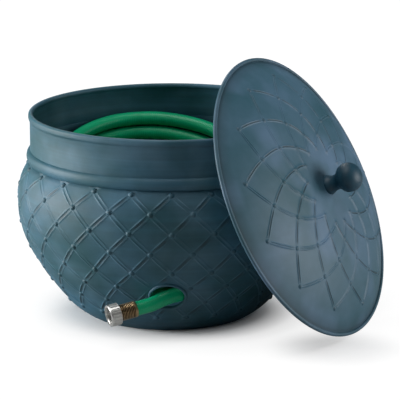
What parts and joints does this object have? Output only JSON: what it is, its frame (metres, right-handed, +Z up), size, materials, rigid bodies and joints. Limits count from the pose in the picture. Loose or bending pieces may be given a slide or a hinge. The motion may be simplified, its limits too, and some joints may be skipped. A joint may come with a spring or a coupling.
{
  "type": "garden hose pot",
  "caption": "Round sheet-metal garden hose pot with an embossed belly, a banded collar, a side outlet with the hose's coupling, and a knobbed domed lid leaned against it.",
  "frame": {"origin": "centre of the pot's base, on the ground under the pot's axis", "axes": "+Z up along the pot's axis; the hose outlet faces -Y; the lid leans on the +X side and the hose's end points to -X"},
  "size_m": [0.5719, 0.534, 0.4028],
  "materials": {
    "pot_paint": "satin blue-grey enamel with a darker teal wash",
    "lid_paint": "satin blue-grey enamel with a darker teal wash",
    "knob": "satin dark blue-green enamel",
    "steel": "zinc plated",
    "hose": "smooth green vinyl",
    "brass": "aged brass",
    "seal": "black rubber",
    "nickel": "bright nickel plate"
  },
  "bodies": {
    "pot": {"bowl": "pot_paint", "collar": "pot_paint", "base_pan": "pot_paint", "outlet_lip": "pot_paint", "hose_coil": "hose", "hose_lead": "hose", "hose_loops": "hose", "ferrule_female": "brass", "swivel_stem": "brass", "hose_washer": "seal", "ferrule_male": "brass", "male_coupling": "nickel"},
    "lid": {"lid_disc": "lid_paint", "lid_knob": "knob", "knob_washer": "steel", "knob_screw": "steel"},
    "swivel": {"swivel_nut": "nickel"}
  },
  "joints": [
    {"name": "lid_lift", "type": "slide", "parent": "pot", "child": "lid", "axis": [0.797, -0.422, 0.4321], "range_m": [0, 0.25]},
    {"name": "nut_spin", "type": "hinge", "parent": "pot", "child": "swivel", "pos_m": [-0.08731, -0.22988, 0.05263], "axis": [-0.9218, -0.3539, -0.158], "continuous": true}
  ]
}
